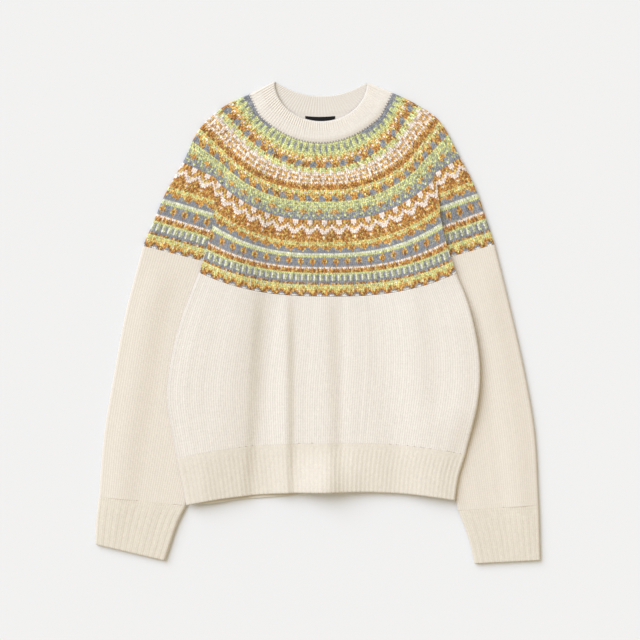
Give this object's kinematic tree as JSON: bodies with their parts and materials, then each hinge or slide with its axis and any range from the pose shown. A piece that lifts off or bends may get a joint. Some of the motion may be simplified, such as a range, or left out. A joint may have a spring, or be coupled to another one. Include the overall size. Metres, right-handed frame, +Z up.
{
  "type": "yoke sweater laid flat",
  "caption": "Relaxed knitted pullover laid flat, with a colourwork yoke, ribbed neckband, cuffs and hem, and its body lying over the inner edges of the sleeves.",
  "frame": {"origin": "middle of the garment's box, on the surface that it lies on", "axes": "+Y from the hem to the neck, +X from the sleeve on the left of the picture to the one on its right, +Z up from the surface"},
  "size_m": [0.644, 0.698, 0.016],
  "materials": {
    "colourwork_knit": "matt stranded knit in gold, rust, lime, slate and cream",
    "plain_knit": "matt cream stocking stitch",
    "rib_knit": "matt cream rib",
    "woven_label": "plain black satin weave"
  },
  "bodies": {
    "root": {"yoke": "colourwork_knit", "front_body": "plain_knit", "back_body": "plain_knit", "hem_front": "rib_knit", "hem_back": "rib_knit", "sleeve_left": "plain_knit", "sleeve_right": "plain_knit", "cuff_left": "rib_knit", "cuff_right": "rib_knit", "neckband": "rib_knit", "label": "woven_label"}
  },
  "joints": []
}
